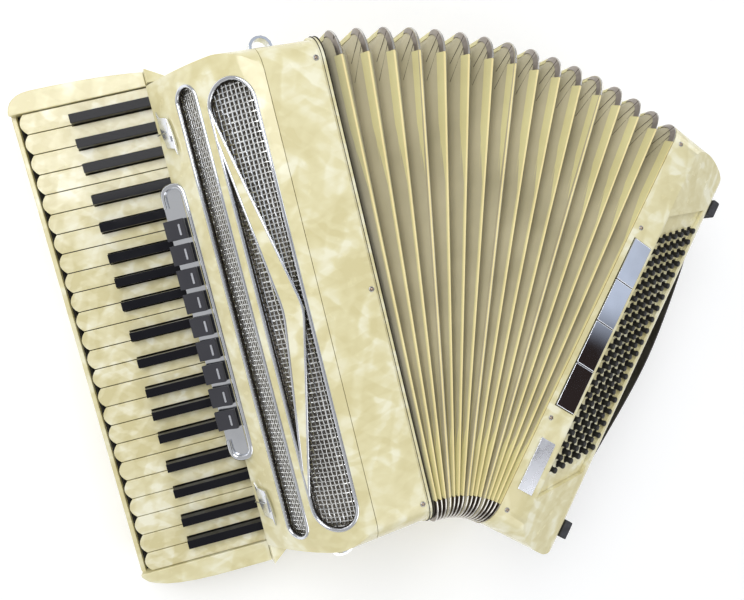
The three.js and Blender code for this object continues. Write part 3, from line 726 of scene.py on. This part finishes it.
def slot_outline(slot, inset=0.0):
    """Points of the slot's round-ended outline, as (u, y)."""
    half = slot_width(slot) / 2
    low, high = slot["y"]
    points = rounded(-half + inset, low + inset, half - inset, high - inset, half - inset - 0.01, 14)
    spaced = []
    for here, there in zip(points, points[1:] + points[:1]):
        pieces = max(1, round((Vector(there) - Vector(here)).length / 60))
        spaced += [Vector(here).lerp(Vector(there), k / pieces) for k in range(pieces)]
    return spaced


def slot_rim(name, slot):
    bm = bmesh.new()
    add_tube(bm, [slot_point(slot, u, y, 0.3) for u, y in slot_outline(slot)], 1.9, 10, True)
    piece(f"grille_rim_{name}", bm, ROW, "chrome", "treble_side", 60)
    # The dark tube just inside the chrome rim is painted shade under the rim's inner edge.
    bm = bmesh.new()
    add_tube(bm, [slot_point(slot, u, y, 1.9) for u, y in slot_outline(slot, 1.7)], 0.8, 6, True)
    piece(f"grille_rim_painted_shade_{name}", bm, ROW, "line", "treble_side", 60)


def slot_reach(slot, u):
    """Lowest and highest Y of the slot's opening at u."""
    half = slot_width(slot) / 2
    rise = half - math.sqrt(max(0.0, half * half - u * u))
    return slot["y"][0] + rise, slot["y"][1] - rise


def woven_mesh(name, slot):
    """Crimped wires that pass over and under each other, on dark cloth."""
    bm = bmesh.new()
    depth = COVER_SKIN + 0.9
    crimp = 0.085 * slot["pitch"]
    radius = 0.16 * slot["pitch"] + 0.02
    half = slot_width(slot) / 2
    rows = int((slot["y"][1] - slot["y"][0]) / WIRE_PITCH)
    columns = int(half / slot["pitch"])
    heights = [slot["y"][0] + WIRE_PITCH * (j + 0.5) for j in range(rows + 1)]
    heights = [y for y in heights if y < slot["y"][1]]
    for i in range(-columns, columns + 1):
        u = i * slot["pitch"]
        low, high = slot_reach(slot, u)
        points = [slot_point(slot, u, y, depth + crimp * (-1) ** (i + j))
                  for j, y in enumerate(heights) if low - 2 < y < high + 2]
        if len(points) > 1:
            add_tube(bm, points, radius, 5)
    for j, y in enumerate(heights):
        reaches = [(i, slot_reach(slot, i * slot["pitch"])) for i in range(-columns, columns + 1)]
        inside = [i for i, (low, high) in reaches if low - 1 < y < high + 1]
        points = [slot_point(slot, i * slot["pitch"], y, depth - crimp * (-1) ** (i + j)) for i in inside]
        if len(points) > 1:
            ends = [slot_point(slot, side * (abs(inside[0]) + 0.8) * slot["pitch"], y, depth)
                    for side in (-1, 1)]
            add_tube(bm, [ends[0], *points, ends[1]], radius, 5)
    wires = piece(f"grille_wires_{name}", bm, ROW, "wire", "treble_side", 60)
    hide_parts(f"grille_mesh_{name}")
    bm = bmesh.new()
    outline_points = [(u, y) for u, y in slot_outline(slot, -2)]
    add_loops(bm, [[slot_point(slot, max(-half, min(half, u)), y, depth + deep) for u, y in outline_points]
                   for deep in (1.0, 1.5)])
    piece(f"grille_cloth_{name}", bm, ROW, "gauze", "treble_side", 60)


def filleted(points, radius, steps=5):
    """The path with its inner corners rounded."""
    points = [Vector(p) for p in points]
    path = [points[0]]
    for before, corner, after in zip(points, points[1:], points[2:]):
        start = corner + (before - corner).normalized() * radius
        end = corner + (after - corner).normalized() * radius
        for k in range(steps + 1):
            t = k / steps
            path.append(start * (1 - t) ** 2 + corner * 2 * t * (1 - t) + end * t * t)
    path.append(points[-1])
    return path


def bolt():
    """Chrome edges of the bolt-shaped bar on the wide mesh."""
    dress("grille_bolt_trim", "pearl", 0.4)
    side = slot_width(WIDE) / 2 - 1.2
    top = 1.4
    bm = bmesh.new()
    outer = [(-side, 434, top), (side - 2, 245, top), (-side, 66, top)]
    inner = [(-side, 408, top), (0, 245, top), (-side, 92, top)]
    for path in (outer, inner):
        add_tube(bm, filleted(path, 12), 1.35, 8)
    piece("grille_bolt_edges", bm, slot_space(WIDE), "chrome", "treble_side", 60)


def grille():
    for name, slot in (("wide", WIDE), ("narrow", NARROW)):
        slot_rim(name, slot)
        woven_mesh(name, slot)
    bolt()


# ---- registers and fittings of the treble side ----
BEZEL_HALF = 141.5
BEZEL_LEFT = -26.5
CLIPS_Y = (("top", 433), ("bottom", 56))
CLIP_AT = 0.9                      # the clips' place on the cover's section
CLIP_RISE = 3.6
TREBLE_PINS_Y = (461.7, 245.8, 30.8)


def register_bezel():
    dress("register_bezel", "chrome", 0.5)
    low, high = MID_Y - BEZEL_HALF, MID_Y + BEZEL_HALF
    ring = 11
    left = BEZEL_LEFT + 3
    path = [(left, high - 22, 0.6), (left, high - 2, 0.8), (-1, high - 2, 1.6), (0, high - 30, 2.2),
            (0, low + 30, 2.2), (-1, low + 2, 1.6), (left, low + 2, 0.8), (left, low + 22, 0.6)]
    bm = bmesh.new()
    add_tube(bm, filleted(path, ring), 2.9, 12)
    piece("register_bezel_rim", bm, REGISTERS, "chrome", "treble_side", 60)


def register_tabs():
    for i in range(REGISTER_COUNT):
        number = i + 1
        dress(f"treble_register_{number}", "tab", 0.7, 3)
        y = MID_Y + REGISTER_PITCH * ((REGISTER_COUNT - 1) / 2 - i)
        bm = bmesh.new()
        add_prism(bm, rounded(-13.5, y - 6, -11.5, y + 5, 0.8, 3), 6.2, 7.0)
        piece(f"register_inlay_{number}", bm, REGISTERS, "plate", f"treble_register_{number}")


def pin(name, space, x, y, z, body, radius=2.7):
    """A small domed nail in a ring."""
    place = Matrix.Translation((x, y, z))
    bm = bmesh.new()
    add_lathe(bm, place, [(radius, -0.6), (radius, 0.5), (radius * 0.85, 0.9), (radius * 0.7, 0.9),
                          (radius * 0.66, 0.4), (radius * 0.6, 0.4)], 18, 0)
    dome = [(radius * 0.6, 0.3), (radius * 0.55, 0.8), (radius * 0.3, 1.25), (radius * 0.08, 1.4)]
    add_lathe(bm, place, dome, 16, 1)
    piece(name, bm, space, ("steel", "brass"), body, 60)


def cover_clips():
    """The bar, recess and small pin on top of each clip; the recess floor is a dark plate, painted shade."""
    for end, y in CLIPS_Y:
        at = cover_point(CLIP_AT, -CLIP_RISE)
        slope = cover_point(CLIP_AT + 0.02, -CLIP_RISE) - at
        lean = -math.degrees(math.atan2(-slope.y, -slope.x))
        place = tilted(ROW @ Matrix.Translation((0, y, 0)), (at.x, at.y), lean)
        bm = bmesh.new()
        add_prism(bm, rounded(3.2, -9, 6.0, 9, 1.0, 3), -0.4, 1.2, 0)
        # The recess: a flat plate in the dark line material, painted shade.
        add_prism(bm, rounded(-3.4, -6, 2.2, 6, 1.0, 3), -0.6, -0.1, 1)
        add_tube(bm, [Vector((2, 1, 0.7)), Vector((-6, 1, 0.9)), Vector((-14, 1, 0.4))], 0.6, 8, index=0)
        piece(f"cover_clip_bar_{end}", bm, place, ("chrome", "line"), "treble_side", 50)


def treble_fittings():
    cover_clips()
    for number, y in enumerate(TREBLE_PINS_Y):
        pin(f"treble_pin_{number + 1}", ROW, -12.5, y, BODY_DEPTH, "treble_side")
    bm = bmesh.new()
    add_loops(bm, [[(x, y, z) for y, z in bellows_outline(2.6)] for x in (-1.75, -1.1)])
    add_loops(bm, [[(x, y, z) for y, z in bellows_outline(2.4)] for x in (-5.3, -4.9)])
    piece("bellows_frame_lines", bm, ROW, "line", "treble_side")


# ---- bass side ----
BASS_PINS_Y = (465, 358, 130, 26)


def button_place(row, column):
    return 8.9 + column * BUTTON_ACROSS, 362 - row * BUTTON_PITCH + column * BUTTON_SHIFT


def bass_buttons():
    cap, shade_ring = 3.3, 4.3
    profile = [(cap * 0.9, -12), (cap * 0.9, 0.6), (cap, 1.0), (cap, 2.6), (cap * 0.9, 3.3), (cap * 0.1, 3.5)]
    bm = bmesh.new()
    for row in range(BUTTON_ROWS):
        for column in range(BUTTONS_PER_ROW):
            a, y = button_place(row, column)
            place = Matrix.Translation((a, y, 0))
            add_lathe(bm, place, profile, 18)
    piece("bass_button_caps", bm, BOARD, "button", "bass_buttons", 50, ("bass_buttons",))
    # The dark rings round each button's foot are painted shade of the holes the buttons stand in.
    bm = bmesh.new()
    for row in range(BUTTON_ROWS):
        for column in range(BUTTONS_PER_ROW):
            a, y = button_place(row, column)
            profile = [(shade_ring, -4.6), (shade_ring, -3.6), (shade_ring * 0.93, -3.3),
                       (cap + 0.15, -3.3), (cap + 0.15, -4.6)]
            loops = []
            for radius, height in profile:
                turn = [2 * math.pi * k / 18 for k in range(18)]
                loops.append([(a + radius * math.cos(t), y + radius * math.sin(t), height) for t in turn])
            add_loops(bm, loops, closed=True)
    piece("bass_button_hole_shade", bm, BOARD, "line", "bass_side", 50)
    button_bridges()


def button_bridges():
    """The board's cream top between the buttons of a row."""
    step = math.hypot(BUTTON_ACROSS, BUTTON_SHIFT)
    lean = Matrix.Rotation(math.atan2(BUTTON_SHIFT, BUTTON_ACROSS), 4, "Z")
    reach = (step - 2 * BUTTON_HOLE) / 2
    bm = bmesh.new()
    for row in range(BUTTON_ROWS):
        for column in range(BUTTONS_PER_ROW - 1):
            a, y = button_place(row, column + 0.5)
            strip = [(-reach, -4.1), (reach, -4.1), (reach, 4.1), (-reach, 4.1)]
            corners = [Matrix.Translation((a, y, 0)) @ lean @ Vector((u, v, 0)) for u, v in strip]
            add_prism(bm, [(c.x, c.y) for c in corners], -4.5, -3.9)
    piece("bass_button_bridges", bm, BOARD, "pearl", "bass_side")


def bass_side():
    dress("bass_casing", "pearl", 1.4, 3)
    dress("bass_button_board", "pearl", 0.2)
    bass_buttons()
    for number in range(1, 5):
        dress(f"bass_register_{number}", "slab", 0.7, 3)
    dress("maker_plate", "plate", 0.3)
    for end in ("top", "bottom"):
        dress(f"bass_foot_{end}", "rubber", 2.0, 3)
    dress("strap_wheel", "chrome", 0.5)
    dress("air_button", "chrome", 1.2, 3)
    for number, y in enumerate(BASS_PINS_Y):
        pin(f"bass_pin_{number + 1}", BASS, 9.4, y, BODY_DEPTH, "bass_side")
    bm = bmesh.new()
    for low, high in ((0.3, 1.1), (3.6, 4.0)):
        add_loops(bm, [[(x, y, z) for y, z in bellows_outline(1.0 if x < 3 else 0.7)] for x in (low, high)])
    piece("bass_rim_lines", bm, BASS, "line", "bass_side")


# ---- hand strap ----
STRAP_ROUTE = ((115.3, 432), (122.3, 412), (131.5, 384), (142, 262), (132, 140), (122.3, 74), (115.3, 52))
STRAP_EDGES = (62, 134)
STRAP_ENDS_Y = (434, 49)


def curve_through(points, steps):
    """A smooth curve through the points, with that many steps in each span."""
    points = [Vector(p) for p in points]
    points = [points[0] * 2 - points[1], *points, points[-1] * 2 - points[-2]]
    curve = []
    for a, b, c, d in zip(points, points[1:], points[2:], points[3:]):
        for k in range(steps):
            t = k / steps
            curve.append(0.5 * (2 * b + (c - a) * t + (2 * a - 5 * b + 4 * c - d) * t * t
                                + (3 * b - a - 3 * c + d) * t * t * t))
    curve.append(points[-2])
    return curve


def strap_stitches(stitches):
    """A run of short thread stitches along each edge."""
    bm = bmesh.new()
    for side in (0, 1):
        line = curve_through([pair[side] for pair in stitches], 3)
        for i in range(0, len(line) - 2, 2):
            add_tube(bm, [line[i], (line[i] + line[i + 1]) / 2 + Vector((0.4, 0, 0)), line[i + 1]], 0.35, 5)
    piece("hand_strap_stitches", bm, BASS, "thread", "bass_side", 60)


def strap_anchors():
    """Leather pads where the strap meets the outer wall."""
    bm = bmesh.new()
    for y in STRAP_ENDS_Y:
        add_prism(bm, rounded(y - 9, 66, y + 6, 130, 3, 4), 0, 4.4)
    turn = Matrix(((0, 0, 1), (1, 0, 0), (0, 1, 0))).to_4x4()
    soften(bm, 0.8, 2)
    space = BASS @ Matrix.Translation((BASS_WIDTH + 0.3, 0, 0)) @ turn
    piece("hand_strap_anchors", bm, space, "leather", "bass_side", 40)


def hand_strap():
    """Two leather faces with a soft crown between stitched edges."""
    low, high = STRAP_EDGES
    middle, half = (low + high) / 2, (high - low) / 2
    route = curve_through(STRAP_ROUTE, 8)
    across = [-1, -0.97, -0.9, -0.8, -0.4, 0, 0.4, 0.8, 0.9, 0.97, 1]
    loops = []
    stitches = []
    for i, point in enumerate(route):
        before, after = route[max(i - 1, 0)], route[min(i + 1, len(route) - 1)]
        along = (after - before).normalized()
        out = Vector((-along.y, along.x))
        if out.x < 0:
            out = -out
        share = min(1.0, 4 * i / len(route), 4 * (len(route) - 1 - i) / len(route))
        crown = 0.9 + 1.6 * share

        def face(side, w):
            swell = crown * max(0.0, 1 - (abs(w) / 0.86) ** 2) ** 0.6
            thick = 0.9 * (1 if abs(w) < 0.99 else 0.4) + swell * (1 if side > 0 else 0.5)
            place = point + out * thick * side
            return (place.x, place.y, middle + half * w)

        loops.append([face(1, w) for w in across] + [face(-1, w) for w in across[::-1]])
        stitches.append((face(1, -0.9), face(1, 0.9)))
    bm = bmesh.new()
    add_loops(bm, loops)
    strap = piece("hand_strap", bm, BASS, "leather", "bass_side", 70, ("bass_strap",))
    strap_stitches(stitches)
    strap_anchors()


# ---- camera, light and floor ----
CAMERA_AT = (-247.1, 314.4, 854.5)
CAMERA_AIM = (0.3328, -0.1125, -0.9363)
CAMERA_UP = (0.2564, 0.9662, -0.0249)
CAMERA_LENS = 36.14


def look_matrix(at, aim, up):
    aim = Vector(aim).normalized()
    right = aim.cross(Vector(up)).normalized()
    turn = Matrix((right, right.cross(aim), -aim)).transposed().to_4x4()
    return Matrix.Translation(at) @ turn


def camera():
    data = bpy.data.cameras.new("camera")
    data.lens = CAMERA_LENS
    data.sensor_width = 36
    data.clip_start = 0.01
    obj = bpy.data.objects.new("camera", data)
    obj.matrix_world = look_matrix(ROW @ Vector(CAMERA_AT), CAMERA_AIM, CAMERA_UP)
    bpy.context.scene.collection.objects.link(obj)
    bpy.context.scene.camera = obj


def area_light(name, at, size, power, color=(1, 1, 1)):
    data = bpy.data.lights.new(name, "AREA")
    data.size = size
    data.energy = power
    data.color = color
    obj = bpy.data.objects.new(name, data)
    obj.matrix_world = look_matrix(Vector(at), -Vector(at), (0, 1, 0.01))
    bpy.context.scene.collection.objects.link(obj)


# The light tent's pale cloth has one dark opening overhead, which the chrome shows as dark bands.
SKY_AXIS = (0.569, 0.797, -0.2)
SKY_BANDS = ((0.0, (1, 1, 1)), (0.37, (1, 1, 1)), (0.41, (0.07, 0.05, 0.045)), (0.49, (0.05, 0.035, 0.03)),
             (0.515, (1.25, 1.38, 1.6)), (0.75, (1, 1, 1)), (1.0, (1, 1, 1)))


SKY_OVERHEAD = ((0.74, (0, 0, 0)), (0.82, (1, 1, 1)))


def sky_ramp(tree, axis, stops):
    """Colours of the sky along an axis, from 0 against it to 1 along it."""
    place = tree.nodes.new("ShaderNodeTexCoord").outputs["Generated"]
    across = tree.nodes.new("ShaderNodeVectorMath")
    across.operation = "DOT_PRODUCT"
    across.inputs[1].default_value = axis
    half = tree.nodes.new("ShaderNodeMath")
    half.operation = "MULTIPLY_ADD"
    half.inputs[1].default_value = 0.5
    half.inputs[2].default_value = 0.5
    ramp = tree.nodes.new("ShaderNodeValToRGB")
    elements = ramp.color_ramp.elements
    while len(elements) < len(stops):
        elements.new(0.5)
    for element, (position, color) in zip(elements, stops):
        element.position = position
        element.color = (*color, 1)
    tree.links.new(place, across.inputs[0])
    tree.links.new(across.outputs["Value"], half.inputs[0])
    tree.links.new(half.outputs[0], ramp.inputs["Fac"])
    return ramp.outputs["Color"]


def studio():
    area_light("key_light", (-0.9, 0.9, 1.7), 1.2, 21)
    area_light("fill_light", (0.5, -1.5, 1.5), 1.4, 9)
    area_light("side_light", (1.9, 0.7, 0.8), 1.2, 7)
    world = bpy.data.worlds.new("studio")
    bpy.context.scene.world = world
    world.use_nodes = True
    tree = world.node_tree
    tree.nodes["Background"].inputs["Strength"].default_value = 0.5
    bands = sky_ramp(tree, SKY_AXIS, SKY_BANDS)
    overhead = sky_ramp(tree, (0, 0, 1), SKY_OVERHEAD)
    mix = tree.nodes.new("ShaderNodeMixRGB")
    mix.inputs["Color1"].default_value = (1, 1, 1, 1)
    tree.links.new(overhead, mix.inputs["Fac"])
    tree.links.new(bands, mix.inputs["Color2"])
    tree.links.new(mix.outputs["Color"], tree.nodes["Background"].inputs["Color"])


def floor():
    """A wide flat sheet of pale paper."""
    bm = bmesh.new()
    bmesh.ops.create_grid(bm, x_segments=2, y_segments=2, size=6000)
    mesh = new_mesh(bm, Matrix.Scale(MM, 4))
    obj = bpy.data.objects.new("floor", mesh)
    bpy.context.scene.collection.objects.link(obj)
    shader = Shader("floor_paper", roughness=0.8)
    shade, paper = (0.93, 0.93, 0.93), (0.96, 0.96, 0.96)
    shader.put("Base Color", shader.ramp(shader.noise(3, 2), (0.3, shade), (0.7, paper)))
    shader.put("Emission Color", (1, 1, 1, 1))
    shader.put("Emission Strength", 0.16)
    mesh.materials.append(shader.material)


bpy.context.scene.view_settings.view_transform = "Standard"
treble_casing()
keys()
key_felt()
bellows()
grille()
register_bezel()
register_tabs()
treble_fittings()
bass_side()
hand_strap()
recolor("steel", "key_axle")
recolor("wood", "treble_reed_block", "bass_reed_block")
camera()
studio()
floor()


def corners(box):
    return [list(corner) for corner in box]
